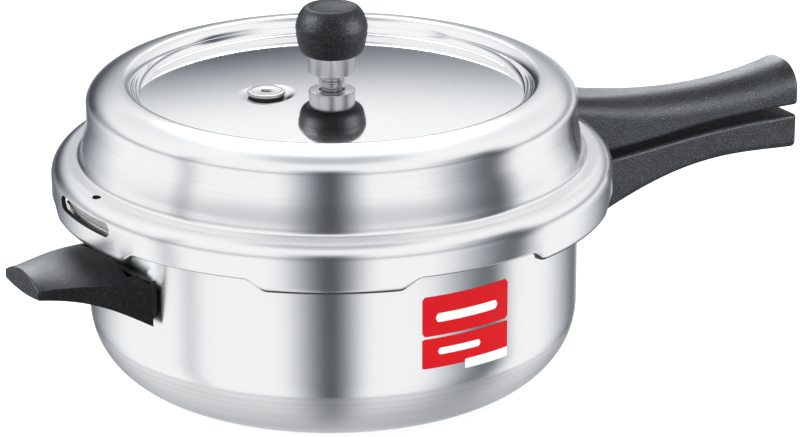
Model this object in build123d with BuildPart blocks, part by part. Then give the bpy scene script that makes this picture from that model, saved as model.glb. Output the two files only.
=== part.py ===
# Stovetop pressure cooker with an outer bayonet lid, in aluminium with bakelite handles.
#
# Frame: the origin is the centre of the pan's underside, +Z is up along the pan's axis and
# +X runs along the two long handles.  The lid is shown closed and locked.  All sizes are in mm.
from build123d import *
import math
import os

os.makedirs("parts", exist_ok=True)

# ------------------------------------------------------------------ driving sizes
# Pan
pan_radius = 117.4
pan_wall = 3.0
pan_floor = 4.0
pan_corner = 36.0
rim_top = 97.4
rim_thickness = 3.0
rim_radius = 126.8

# Six bayonet lugs, on the pan's rim and inside the lid's skirt
lug_count = 6
lug_pitch = 360 / lug_count
pan_lug_radius = 130.4
pan_lug_angle = 26.0
pan_lug_bottom = 88.3
lug_plate = 2.8

# Lid shell, a pressing of even thickness
lid_sheet = 2.2
plate_radius = 91.0
plate_edge_z = 138.3
plate_crown_z = 143.1
ridge_radius = 99.0
ridge_top_z = 145.7
wall_radius = 116.7
wall_top_z = 135.4
wall_flare_z = 128.0
wall_foot_radius = 120.3
flange_top_z = 109.0
bead_radius = 8.0
skirt_radius = 134.0
skirt_bottom_z = 91.8
lug_bottom_z = 85.5
lug_hook_radius = 127.6

# Sealing ring
gasket_radius = 129.6

# Safety features of the lid
release_slot_angle = 21.0
release_slot_z = (96.3, 103.2)
peep_hole_radius = 126.8
peep_hole_angle = 181.3
groove_radius = 125.9
groove_start_angle = 184.5
groove_arc = 112.5
groove_width = 5.0
groove_depth = 0.6

# Vent tube and its weight, on the axis
tube_bore = 1.6
weight_bottom_z = 147.4
weight_radius = 11.2
knob_bottom_z = 156.7
knob_top_z = 180.0
knob_radius = 17.0
pin_radius = 2.5

# Safety valve, towards the helper handle
valve_offset = -35.5
valve_radius = 9.0

# Handles and the sheet-steel brackets inside their roots
handle_tip_x = 266.0
helper_tip_x = -165.0
bracket_sheet = 2.0
tongue_half_width = 9.0
screw_radius = 2.5
rivet_radius = 1.9
rivet_head_radius = 2.8
rivet_head_height = 1.4
screw_head_radius = 4.8
screw_head_height = 3.0

# Sticker on the pan's wall
label_start_angle = 260.0
label_arc = 22.8
label_thickness = 0.2

# Gap between pieces that don't touch
clearance = 0.2


# ------------------------------------------------------------------ helpers
def half_plane(angle):
    """Vertical plane through the axis: local x is the radius at that angle, local y is height."""
    turn = math.radians(angle)
    radial = (math.cos(turn), math.sin(turn), 0)
    normal = (math.sin(turn), -math.cos(turn), 0)
    return Plane(origin=(0, 0, 0), x_dir=radial, z_dir=normal)


def radial_plane(angle, radius, height):
    """Plane that faces outwards at a point of a cylinder round the axis; local y is up."""
    turn = math.radians(angle)
    outward = (math.cos(turn), math.sin(turn), 0)
    sideways = (-math.sin(turn), math.cos(turn), 0)
    centre = (radius * outward[0], radius * outward[1], height)
    return Plane(origin=centre, x_dir=sideways, z_dir=outward)


def handle_section(x, half_width, bottom, top, bottom_round, top_round):
    """One cross-section of a handle that runs along X, with its corners rounded."""
    with BuildSketch(Plane.YZ.offset(x)) as section:
        with BuildLine():
            Polyline(
                (-half_width, bottom), (half_width, bottom), (half_width, top), (-half_width, top),
                close=True,
            )
        make_face()
        fillet(section.vertices().group_by(Axis.Y)[0], bottom_round)
        fillet(section.vertices().group_by(Axis.Y)[-1], top_round)
    return section.sketch


def cross_head_screw(plane, shank_length):
    """A cross-recess screw: plane is under its head and faces the way the head points."""
    recess_depth = screw_head_height * 0.55
    with BuildPart(mode=Mode.PRIVATE) as screw:
        with BuildSketch(plane):
            Circle(screw_head_radius)
        extrude(amount=screw_head_height)
        fillet(screw.faces().sort_by(plane_axis(plane))[-1].edges(), screw_head_height * 0.45)
        with BuildSketch(plane):
            Circle(screw_radius)
        extrude(amount=-shank_length)
        with BuildSketch(plane.offset(screw_head_height - recess_depth)):
            Rectangle(screw_head_radius * 1.2, screw_head_radius * 0.22)
            Rectangle(screw_head_radius * 0.22, screw_head_radius * 1.2)
        extrude(amount=screw_head_height, mode=Mode.SUBTRACT)
    return screw.part


def plane_axis(plane):
    """The axis along a plane's normal, for sorting faces."""
    return Axis(plane.origin, plane.z_dir)


def rivet(plane, inner_plane, head_radius, head_height):
    """A rivet through a wall: plane is on the outer skin facing out, inner_plane on the inner one."""
    thickness = (plane.origin - inner_plane.origin).length
    with BuildPart(mode=Mode.PRIVATE) as body:
        with BuildSketch(inner_plane):
            Circle(rivet_radius)
        extrude(amount=thickness)
        with BuildSketch(plane):
            Circle(head_radius)
        extrude(amount=head_height)
        fillet(body.faces().sort_by(plane_axis(plane))[-1].edges(), head_height * 0.8)
        with BuildSketch(inner_plane):
            Circle(head_radius)
        extrude(amount=-head_height)
        fillet(body.faces().sort_by(plane_axis(plane))[0].edges(), head_height * 0.8)
    return body.part


def rivet_pair(angles, outer_radius, inner_radius, height):
    """Rivets through a bracket and the wall behind it, one at each angle."""
    pair = []
    for angle in angles:
        outer_plane = radial_plane(angle, outer_radius, height)
        inner_plane = radial_plane(angle, inner_radius, height)
        pair.append(rivet(outer_plane, inner_plane, rivet_head_radius, rivet_head_height))
    return pair


def facing_down(x, z):
    """Plane that faces down at a point of the XZ plane."""
    return Plane(origin=(x, 0, z), x_dir=(1, 0, 0), z_dir=(0, 0, -1))


def label_skin():
    """A thin shell on the pan's wall, to cut the sticker's outline from."""
    with BuildPart(mode=Mode.PRIVATE) as skin:
        with BuildSketch(Plane.XY.offset(tag_low_z - 5)):
            Circle(pan_radius + label_thickness)
            Circle(pan_radius, mode=Mode.SUBTRACT)
        extrude(amount=label_high_z - tag_low_z + 10)
    return skin.part


# ------------------------------------------------------------------ where the fasteners go
pan_inner_radius = pan_radius - pan_wall
bracket_outer_radius = pan_radius + bracket_sheet

# The pan's two brackets are held by pairs of rivets, either side of the bracket's tongue.
pan_rivet_angles = (-4.6, 4.6)
pan_rivet_z = 58.0
helper_rivet_angles = (180 - 11, 180 + 11)
helper_rivet_z = 64.5
rivet_places = []
for angle in pan_rivet_angles:
    rivet_places.append((angle, pan_rivet_z))
for angle in helper_rivet_angles:
    rivet_places.append((angle, helper_rivet_z))

# The lid's bracket is riveted low on the dome wall, inside the handle's root.
lid_rivet_angles = (-2.6, 2.6)
lid_rivet_z = 114.1

# Fittings through the lid's plate
tube_hole_radius = 5.0
tube_thread_radius = 4.9
valve_hole_radius = 5.5
valve_seat_radius = 10.4
valve_seat_z = 141.7
underside_z = plate_crown_z - lid_sheet

# ------------------------------------------------------------------ pan
with BuildPart() as pan_body:
    with BuildSketch(Plane.XZ):
        with BuildLine():
            inner_floor_centre = pan_floor + pan_corner - pan_wall
            Polyline((0, pan_floor), (0, 0), (pan_radius - pan_corner, 0))
            RadiusArc((pan_radius - pan_corner, 0), (pan_radius, pan_corner), -pan_corner)
            Polyline(
                (pan_radius, pan_corner),
                (pan_radius, rim_top - rim_thickness - 2.5),
                (pan_radius + 2.5, rim_top - rim_thickness),
                (rim_radius, rim_top - rim_thickness),
                (rim_radius, rim_top),
                (pan_inner_radius + 3, rim_top),
            )
            RadiusArc((pan_inner_radius + 3, rim_top), (pan_inner_radius, rim_top - 3), -3)
            Line((pan_inner_radius, rim_top - 3), (pan_inner_radius, inner_floor_centre))
            RadiusArc(
                (pan_inner_radius, inner_floor_centre),
                (pan_radius - pan_corner, pan_floor),
                pan_corner - pan_wall,
            )
            Line((pan_radius - pan_corner, pan_floor), (0, pan_floor))
        make_face()
    revolve(axis=Axis.Z)
    # The rim carries six lugs, each turned down at its outer edge.
    for index in range(lug_count):
        with BuildSketch(half_plane(index * lug_pitch - pan_lug_angle / 2)):
            with BuildLine():
                Polyline(
                    (rim_radius - 2, rim_top),
                    (pan_lug_radius, rim_top),
                    (pan_lug_radius, pan_lug_bottom),
                    (pan_lug_radius - lug_plate, pan_lug_bottom),
                    (pan_lug_radius - lug_plate, rim_top - rim_thickness),
                    (rim_radius - 2, rim_top - rim_thickness),
                    close=True,
                )
            make_face()
        revolve(axis=Axis.Z, revolution_arc=pan_lug_angle)
    for angle, height in rivet_places:
        with BuildSketch(radial_plane(angle, pan_radius + 2, height)):
            Circle(rivet_radius)
        extrude(amount=-(pan_wall + 4), mode=Mode.SUBTRACT)
pan_body.part.label = "pan_body"
export_step(pan_body.part, "parts/pan_body.step")

# ------------------------------------------------------------------ lid shell
with BuildPart() as lid_shell:
    bead_centre = (skirt_radius - bead_radius, flange_top_z - bead_radius)
    inner_bead = bead_radius - lid_sheet
    hook_round = 4.0
    with BuildSketch(Plane.XZ):
        with BuildLine():
            # Outer skin, from the crown of the plate to the tip of the hook
            RadiusArc((0, plate_crown_z), (plate_radius, plate_edge_z), 860)
            Spline(
                (plate_radius, plate_edge_z),
                (ridge_radius - 4.2, ridge_top_z - 2.6),
                (ridge_radius, ridge_top_z),
                tangents=((0.8, 0.25), (1, 0)),
            )
            EllipticalCenterArc(
                (ridge_radius, wall_top_z),
                wall_radius - ridge_radius,
                ridge_top_z - wall_top_z,
                start_angle=0,
                arc_size=90,
            )
            Line((wall_radius, wall_top_z), (wall_radius, wall_flare_z))
            Spline(
                (wall_radius, wall_flare_z),
                (wall_foot_radius - 1.2, flange_top_z + 6),
                (wall_foot_radius + 1.8, flange_top_z),
                tangents=((0, -1), (1, 0)),
            )
            Line((wall_foot_radius + 1.8, flange_top_z), (bead_centre[0], flange_top_z))
            RadiusArc((bead_centre[0], flange_top_z), (skirt_radius, bead_centre[1]), bead_radius)
            Line((skirt_radius, bead_centre[1]), (skirt_radius, lug_bottom_z + hook_round))
            RadiusArc(
                (skirt_radius, lug_bottom_z + hook_round),
                (skirt_radius - hook_round, lug_bottom_z),
                hook_round,
            )
            Polyline(
                (skirt_radius - hook_round, lug_bottom_z),
                (lug_hook_radius, lug_bottom_z),
                (lug_hook_radius, lug_bottom_z + lid_sheet),
                (skirt_radius - hook_round, lug_bottom_z + lid_sheet),
            )
            # Inner skin, back up to the crown
            RadiusArc(
                (skirt_radius - hook_round, lug_bottom_z + lid_sheet),
                (skirt_radius - lid_sheet, lug_bottom_z + hook_round),
                -(hook_round - lid_sheet),
            )
            Line(
                (skirt_radius - lid_sheet, lug_bottom_z + hook_round),
                (skirt_radius - lid_sheet, bead_centre[1]),
            )
            RadiusArc(
                (skirt_radius - lid_sheet, bead_centre[1]),
                (bead_centre[0], flange_top_z - lid_sheet),
                -inner_bead,
            )
            Line(
                (bead_centre[0], flange_top_z - lid_sheet),
                (wall_foot_radius + 0.2, flange_top_z - lid_sheet),
            )
            Spline(
                (wall_foot_radius + 0.2, flange_top_z - lid_sheet),
                (wall_foot_radius - 1.2 - lid_sheet, flange_top_z + 5),
                (wall_radius - lid_sheet, wall_flare_z),
                tangents=((-1, 0), (0, 1)),
            )
            Line((wall_radius - lid_sheet, wall_flare_z), (wall_radius - lid_sheet, wall_top_z))
            EllipticalCenterArc(
                (ridge_radius, wall_top_z),
                wall_radius - ridge_radius - lid_sheet,
                ridge_top_z - wall_top_z - lid_sheet,
                start_angle=0,
                arc_size=90,
            )
            Spline(
                (ridge_radius, ridge_top_z - lid_sheet),
                (ridge_radius - 3.0, ridge_top_z - 2.6 - lid_sheet),
                (plate_radius, plate_edge_z - lid_sheet),
                tangents=((-1, 0), (-0.8, -0.05)),
            )
            RadiusArc(
                (plate_radius, plate_edge_z - lid_sheet), (0, plate_crown_z - lid_sheet), -860
            )
            Line((0, plate_crown_z - lid_sheet), (0, plate_crown_z))
        make_face()
    revolve(axis=Axis.Z)
    # Between the lugs the skirt is cut back to a shallower edge.
    for index in range(lug_count):
        middle = (index + 0.5) * lug_pitch
        top_half = skirt_radius * math.sin(math.radians(13.3))
        low_half = skirt_radius * math.sin(math.radians(15.8))
        with BuildSketch(radial_plane(middle, lug_hook_radius - 15, 0)) as gap:
            with BuildLine():
                Polyline(
                    (-low_half, lug_bottom_z - 3),
                    (low_half, lug_bottom_z - 3),
                    (low_half, lug_bottom_z + 1),
                    (top_half, skirt_bottom_z),
                    (-top_half, skirt_bottom_z),
                    (-low_half, lug_bottom_z + 1),
                    close=True,
                )
            make_face()
            fillet(gap.vertices().group_by(Axis.Y)[1], 2.5)
            fillet(gap.vertices().group_by(Axis.Y)[-1], 3.5)
        extrude(amount=30, mode=Mode.SUBTRACT)
    # The gasket release slot is in the skirt over the helper handle.
    slot_low, slot_high = release_slot_z
    with BuildSketch(radial_plane(180, skirt_radius - 10, (slot_low + slot_high) / 2)):
        slot_length = 2 * skirt_radius * math.sin(math.radians(release_slot_angle / 2))
        SlotOverall(slot_length, slot_high - slot_low)
    extrude(amount=14, mode=Mode.SUBTRACT)
    # A small oval hole through the flange marks the slot from above.
    with BuildSketch(Plane.XY.rotated((0, 0, peep_hole_angle)).offset(flange_top_z - 5)):
        with Locations((peep_hole_radius, 0)):
            Ellipse(1.9, 2.6)
    extrude(amount=8, mode=Mode.SUBTRACT)
    # A shallow pressed groove runs along the flange on the front side.
    with BuildSketch(half_plane(groove_start_angle)):
        with Locations((groove_radius, flange_top_z)):
            Ellipse(groove_width / 2, groove_depth)
    revolve(axis=Axis.Z, revolution_arc=groove_arc, mode=Mode.SUBTRACT)
    # Holes for the vent tube, the safety valve and the handle's rivets
    with BuildSketch(Plane.XY.offset(plate_edge_z - 10)):
        Circle(tube_hole_radius)
        with Locations((valve_offset, 0)):
            Circle(valve_hole_radius)
    extrude(amount=20, mode=Mode.SUBTRACT)
    for angle in lid_rivet_angles:
        with BuildSketch(radial_plane(angle, wall_foot_radius + 3, lid_rivet_z)):
            Circle(rivet_radius)
        extrude(amount=-10, mode=Mode.SUBTRACT)
    # The safety valve stands in a shallow round pressing.
    with BuildSketch(Plane((valve_offset, 0, valve_seat_z))):
        Circle(valve_seat_radius)
    extrude(amount=3, taper=-60, mode=Mode.SUBTRACT)
lid_shell.part.label = "lid_shell"
export_step(lid_shell.part, "parts/lid_shell.step")

# ------------------------------------------------------------------ gasket
with BuildPart() as gasket:
    # It fills the bead above the rim, level with the release slot.
    gasket_low = rim_top + 0.1
    gasket_high = flange_top_z - lid_sheet - clearance
    gasket_round = 5.0
    with BuildSketch(Plane.XZ):
        with BuildLine():
            Polyline(
                (gasket_radius - gasket_round, gasket_high),
                (pan_radius + 5.4, gasket_high),
                (pan_radius + 1.0, gasket_high - 4.0),
                (pan_radius + 1.0, gasket_low),
                (gasket_radius, gasket_low),
                (gasket_radius, gasket_high - gasket_round),
            )
            RadiusArc(
                (gasket_radius, gasket_high - gasket_round),
                (gasket_radius - gasket_round, gasket_high),
                -gasket_round,
            )
        make_face()
    revolve(axis=Axis.Z)
gasket.part.label = "gasket"
export_step(gasket.part, "parts/gasket.step")

# ------------------------------------------------------------------ vent tube and its fastening
with BuildPart() as vent_tube:
    neck_radius = 5.35
    tip_radius = 4.2
    tube_top_z = 164.0
    with BuildSketch(Plane.XZ):
        with BuildLine():
            Polyline(
                (tube_bore, 128),
                (tube_thread_radius, 128),
                (tube_thread_radius, plate_crown_z),
                (7.2, plate_crown_z),
                (7.2, 144.2),
                (neck_radius, 144.2),
                (neck_radius, 145.3),
                (neck_radius - 0.8, 145.5),
                (neck_radius - 0.8, 146.0),
                (neck_radius, 146.2),
                (neck_radius, 147.6),
                (tip_radius, 148.4),
                (tip_radius, tube_top_z - 0.8),
                (tip_radius - 0.8, tube_top_z),
                (tube_bore, tube_top_z),
                close=True,
            )
        make_face()
    revolve(axis=Axis.Z)
vent_tube.part.label = "vent_tube"
export_step(vent_tube.part, "parts/vent_tube.step")

with BuildPart() as vent_washer:
    with BuildSketch(Plane.XY.offset(underside_z - 1.26)):
        Circle(9.0)
        Circle(tube_thread_radius, mode=Mode.SUBTRACT)
    extrude(amount=1.2)
vent_washer.part.label = "vent_washer"
export_step(vent_washer.part, "parts/vent_washer.step")

with BuildPart() as vent_nut:
    with BuildSketch(Plane.XY.offset(underside_z - 6.26)):
        RegularPolygon(radius=7.0, side_count=6, major_radius=False)
        Circle(tube_thread_radius, mode=Mode.SUBTRACT)
    extrude(amount=5.0)
vent_nut.part.label = "vent_nut"
export_step(vent_nut.part, "parts/vent_nut.step")

# ------------------------------------------------------------------ safety valve
with BuildPart() as safety_valve_body:
    valve_top_z = 144.3
    plug_radius = 2.0
    with BuildSketch(Plane((valve_offset, 0, 0), x_dir=(1, 0, 0), z_dir=(0, -1, 0))):
        with BuildLine():
            Polyline(
                (plug_radius, 130),
                (valve_hole_radius - 0.1, 130),
                (valve_hole_radius - 0.1, valve_seat_z),
                (7.4, valve_seat_z),
                (7.4, valve_seat_z + 0.7),
                (valve_radius - 0.4, valve_seat_z + 0.7),
                (valve_radius, valve_seat_z + 1.1),
                (valve_radius, valve_top_z - 0.5),
                (valve_radius - 0.5, valve_top_z),
                (7.6, valve_top_z),
                (7.4, valve_top_z - 0.25),
                (6.9, valve_top_z - 0.25),
                (6.7, valve_top_z),
                (plug_radius + 0.8, valve_top_z),
                (plug_radius, valve_top_z - 0.8),
                close=True,
            )
        make_face()
    revolve(axis=Axis((valve_offset, 0, 0), (0, 0, 1)))
safety_valve_body.part.label = "safety_valve_body"
export_step(safety_valve_body.part, "parts/safety_valve_body.step")

with BuildPart() as safety_valve_plug:
    with BuildSketch(Plane((valve_offset, 0, 131))):
        Circle(plug_radius)
    extrude(amount=valve_top_z - 1.2 - 131)
safety_valve_plug.part.label = "safety_valve_plug"
export_step(safety_valve_plug.part, "parts/safety_valve_plug.step")

with BuildPart() as safety_valve_washer:
    with BuildSketch(Plane((valve_offset, 0, 138.2))):
        Circle(9.0)
        Circle(valve_hole_radius - 0.1, mode=Mode.SUBTRACT)
    extrude(amount=1.5)
safety_valve_washer.part.label = "safety_valve_washer"
export_step(safety_valve_washer.part, "parts/safety_valve_washer.step")

with BuildPart() as safety_valve_nut:
    with BuildSketch(Plane((valve_offset, 0, 133.7))):
        RegularPolygon(radius=8.0, side_count=6, major_radius=False)
        Circle(valve_hole_radius - 0.1, mode=Mode.SUBTRACT)
    extrude(amount=4.5)
safety_valve_nut.part.label = "safety_valve_nut"
export_step(safety_valve_nut.part, "parts/safety_valve_nut.step")

# ------------------------------------------------------------------ weight
with BuildPart() as weight_body:
    core_radius = 9.0
    cavity_top_z = 165.2
    core_top_z = 172.0
    with BuildSketch(Plane.XZ):
        with BuildLine():
            Polyline(
                (6.3, weight_bottom_z),
                (weight_radius - 0.6, weight_bottom_z),
                (weight_radius, weight_bottom_z + 0.6),
                (weight_radius, knob_bottom_z),
                (core_radius, knob_bottom_z),
                (core_radius, core_top_z),
                (pin_radius, core_top_z),
                (pin_radius, cavity_top_z),
                (tip_radius + 0.8, cavity_top_z),
                (tip_radius + 0.8, 150.6),
                (6.3, 149.2),
                close=True,
            )
        make_face()
    revolve(axis=Axis.Z)
weight_body.part.label = "weight_body"
export_step(weight_body.part, "parts/weight_body.step")

with BuildPart() as weight_pin:
    seat_gap = 0.1
    with BuildSketch(Plane.XZ):
        with BuildLine():
            Polyline(
                (0, tube_top_z - 1.1 + seat_gap),
                (tube_bore - 0.8, tube_top_z - 1.1 + seat_gap),
                (pin_radius - 0.1, tube_top_z + 1.1 + seat_gap),
                (pin_radius, tube_top_z + 1.1 + seat_gap),
                (pin_radius, core_top_z),
                (0, core_top_z),
                close=True,
            )
        make_face()
    revolve(axis=Axis.Z)
weight_pin.part.label = "weight_pin"
export_step(weight_pin.part, "parts/weight_pin.step")

with BuildPart() as weight_knob:
    dish_radius = 11.4
    with BuildSketch(Plane.XZ):
        with BuildLine():
            Line((core_radius, knob_bottom_z), (knob_radius - 4.6, knob_bottom_z))
            Spline(
                (knob_radius - 4.6, knob_bottom_z),
                (knob_radius - 1.7, knob_bottom_z + 2.6),
                (knob_radius - 0.3, knob_bottom_z + 9.0),
                (knob_radius, knob_top_z - 9.0),
                (knob_radius - 1.9, knob_top_z - 3.2),
                (dish_radius, knob_top_z),
                tangents=((1, 0), (-1, 0)),
            )
            Spline(
                (dish_radius, knob_top_z),
                (dish_radius - 3.2, knob_top_z - 0.9),
                (0, knob_top_z - 1.6),
                tangents=((-1, 0), (-1, 0)),
            )
            Polyline(
                (0, knob_top_z - 1.6),
                (0, core_top_z),
                (core_radius, core_top_z),
                (core_radius, knob_bottom_z),
            )
        make_face()
    revolve(axis=Axis.Z)
weight_knob.part.label = "weight_knob"
export_step(weight_knob.part, "parts/weight_knob.step")

# ------------------------------------------------------------------ long handle of the pan
tongue_z = 74.0
pan_screw_x = (134.0, 150.0)
screw_seat_z = 63.0

with BuildPart() as pan_handle_bracket:
    with BuildSketch(half_plane(-7.2)):
        with Locations((pan_radius + bracket_sheet / 2, 64.5)):
            Rectangle(bracket_sheet, 31)
    revolve(axis=Axis.Z, revolution_arc=14.4)
    with BuildSketch(Plane.XY.offset(tongue_z)):
        with Locations((139, 0)):
            Rectangle(42, 2 * tongue_half_width)
        with Locations(*[(x, 0) for x in pan_screw_x]):
            Circle(screw_radius, mode=Mode.SUBTRACT)
    extrude(amount=bracket_sheet)
    for angle in pan_rivet_angles:
        with BuildSketch(radial_plane(angle, bracket_outer_radius + 1, pan_rivet_z)):
            Circle(rivet_radius)
        extrude(amount=-5, mode=Mode.SUBTRACT)
pan_handle_bracket.part.label = "pan_handle_bracket"
export_step(pan_handle_bracket.part, "parts/pan_handle_bracket.step")

with BuildPart() as pan_handle:
    # x, half width, underside z, top z
    pan_handle_stations = (
        (116.0, 15.5, 37.8, 79.0),
        (150.0, 15.0, 53.2, 80.6),
        (183.0, 14.0, 63.4, 82.3),
        (217.0, 13.7, 68.2, 84.2),
        (243.0, 14.6, 68.0, 84.8),
        (handle_tip_x, 15.6, 66.6, 84.8),
    )
    for x, half_width, bottom, top in pan_handle_stations:
        add(handle_section(x, half_width, bottom, top, 3.5, 2.0))
    loft()
    fillet(pan_handle.faces().sort_by(Axis.X)[-1].edges(), 1.6)
    # The root is shaped to the pan's wall, with room for the rivet heads and the tongue.
    with BuildSketch(Plane.XY):
        Circle(bracket_outer_radius + 0.1)
    extrude(amount=120, mode=Mode.SUBTRACT)
    with BuildSketch(Plane.YZ.offset(110)):
        with Locations((0, pan_rivet_z)):
            Rectangle(26, 7)
    extrude(amount=13.5, mode=Mode.SUBTRACT)
    with BuildSketch(Plane.YZ.offset(110)):
        with Locations((0, tongue_z + bracket_sheet / 2)):
            Rectangle(2 * tongue_half_width + 1, bracket_sheet + 2 * clearance)
    extrude(amount=51, mode=Mode.SUBTRACT)
    with BuildSketch(Plane.XY.offset(screw_seat_z)):
        with Locations(*[(x, 0) for x in pan_screw_x]):
            Circle(screw_radius + clearance)
    extrude(amount=15.5, mode=Mode.SUBTRACT)
    with BuildSketch(Plane.XY.offset(screw_seat_z)):
        with Locations(*[(x, 0) for x in pan_screw_x]):
            Circle(5.2)
    extrude(amount=-30, mode=Mode.SUBTRACT)
pan_handle.part.label = "pan_handle"
export_step(pan_handle.part, "parts/pan_handle.step")

# ------------------------------------------------------------------ long handle of the lid
lid_tongue_z = 100.0
lid_screw_x = (153.0, 166.0)
strap_z = flange_top_z + clearance + bracket_sheet / 2
bracket_foot_radius = 119.4

with BuildPart() as lid_handle_bracket:
    # A strap over the bead and down into the handle
    with BuildSketch(Plane.XZ):
        with BuildLine():
            FilletPolyline(
                (bracket_foot_radius + 2.0, strap_z),
                (134.6, strap_z),
                (144.6, lid_tongue_z + bracket_sheet / 2),
                (172.0, lid_tongue_z + bracket_sheet / 2),
                radius=2.5,
            )
        trace(line_width=bracket_sheet)
    extrude(amount=tongue_half_width, both=True)
    # Its upturned end lies on the dome wall.
    with BuildSketch(half_plane(-4.2)):
        with BuildLine():
            Polyline(
                (bracket_foot_radius + 0.5, strap_z + 0.2),
                (bracket_foot_radius + 2.2, strap_z - 0.4),
                (bracket_foot_radius + 2.2, 116.9),
                (bracket_foot_radius, 116.9),
                (bracket_foot_radius, strap_z + 2.2),
                close=True,
            )
        make_face()
    revolve(axis=Axis.Z, revolution_arc=8.4)
    with BuildSketch(Plane.XY.offset(lid_tongue_z - 1)):
        with Locations(*[(x, 0) for x in lid_screw_x]):
            Circle(screw_radius)
    extrude(amount=bracket_sheet + 2, mode=Mode.SUBTRACT)
    for angle in lid_rivet_angles:
        with BuildSketch(radial_plane(angle, bracket_foot_radius + 5, lid_rivet_z)):
            Circle(rivet_radius)
        extrude(amount=-10, mode=Mode.SUBTRACT)
lid_handle_bracket.part.label = "lid_handle_bracket"
export_step(lid_handle_bracket.part, "parts/lid_handle_bracket.step")

with BuildPart() as lid_handle:
    # x, half width, underside z, crest z, rounding of the top
    lid_handle_stations = (
        (112.0, 17.5, 86.0, 120.4, 9.0),
        (150.0, 16.6, 85.6, 112.0, 9.5),
        (183.0, 14.6, 86.8, 107.8, 11.5),
        (216.0, 13.9, 89.0, 106.7, 12.4),
        (243.0, 15.0, 89.9, 108.3, 13.4),
        (handle_tip_x, 16.4, 90.0, 112.0, 14.0),
    )
    for x, half_width, bottom, crest, top_round in lid_handle_stations:
        add(handle_section(x, half_width, bottom, crest, 2.0, top_round))
    loft()
    fillet(lid_handle.faces().sort_by(Axis.X)[-1].edges(), 1.8)
    # Hollow from below, with a wall of even thickness and a solid tip
    shell = 3.6
    for x, half_width, bottom, crest, top_round in (
        (174.0, 15.1, 84.0, 108.7, 11.0),
        (196.0, 14.3, 84.0, 107.2, 12.0),
        (220.0, 14.0, 84.0, 106.8, 12.4),
        (246.0, 15.2, 84.0, 108.7, 13.4),
    ):
        add(handle_section(x, half_width - shell, bottom, crest - shell, 1.0, top_round - shell))
    loft(mode=Mode.SUBTRACT)
    # Room for the bracket, open below as far as the hollow
    with BuildSketch(Plane.XZ):
        with BuildLine():
            Polyline(
                (110, 80),
                (110, 117.2),
                (125.0, 117.2),
                (125.0, strap_z + 1.6),
                (136.2, strap_z + 1.6),
                (146.4, lid_tongue_z + bracket_sheet + clearance),
                (175, lid_tongue_z + bracket_sheet + clearance),
                (175, 80),
                close=True,
            )
        make_face()
    extrude(amount=tongue_half_width + 0.8, both=True, mode=Mode.SUBTRACT)
    # The underside is cut to the lid's own outline.
    with BuildSketch(Plane.XZ):
        with BuildLine():
            envelope_edge = skirt_radius + clearance
            envelope_top = flange_top_z + clearance
            Polyline((0, 80), (envelope_edge, 80), (envelope_edge, bead_centre[1]))
            RadiusArc(
                (envelope_edge, bead_centre[1]),
                (bead_centre[0], envelope_top),
                -(bead_radius + clearance),
            )
            Polyline(
                (bead_centre[0], envelope_top),
                (wall_foot_radius + 1.8, envelope_top),
                (wall_foot_radius - 0.3, flange_top_z + 1.6),
                (wall_foot_radius - 0.8, flange_top_z + 3.6),
                (wall_foot_radius - 0.8, flange_top_z + 7.0),
                (wall_radius + 1.2, 122.0),
                (wall_radius + 1.2, 130.0),
                (0, 130.0),
                (0, 80),
            )
        make_face()
    revolve(axis=Axis.Z, mode=Mode.SUBTRACT)
    with BuildSketch(Plane.XY.offset(lid_tongue_z)):
        with Locations(*[(x, 0) for x in lid_screw_x]):
            Circle(screw_radius + 0.1)
    extrude(amount=9, mode=Mode.SUBTRACT)
lid_handle.part.label = "lid_handle"
export_step(lid_handle.part, "parts/lid_handle.step")

# ------------------------------------------------------------------ helper handle
helper_tongue_z = 68.0
helper_screw_x = -131.0
helper_seat_z = 65.0

with BuildPart() as helper_bracket:
    with BuildSketch(half_plane(180 - 15.4)):
        with Locations((pan_radius + bracket_sheet / 2, 65.2)):
            Rectangle(bracket_sheet, 18.4)
    revolve(axis=Axis.Z, revolution_arc=30.8)
    with BuildSketch(Plane.XY.offset(helper_tongue_z)):
        with Locations((-128.5, 0)):
            Rectangle(20, 2 * tongue_half_width)
        with Locations((helper_screw_x, 0)):
            Circle(screw_radius, mode=Mode.SUBTRACT)
    extrude(amount=bracket_sheet)
    for angle in helper_rivet_angles:
        with BuildSketch(radial_plane(angle, bracket_outer_radius + 1, helper_rivet_z)):
            Circle(rivet_radius)
        extrude(amount=-5, mode=Mode.SUBTRACT)
helper_bracket.part.label = "helper_bracket"
export_step(helper_bracket.part, "parts/helper_bracket.step")

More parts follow.
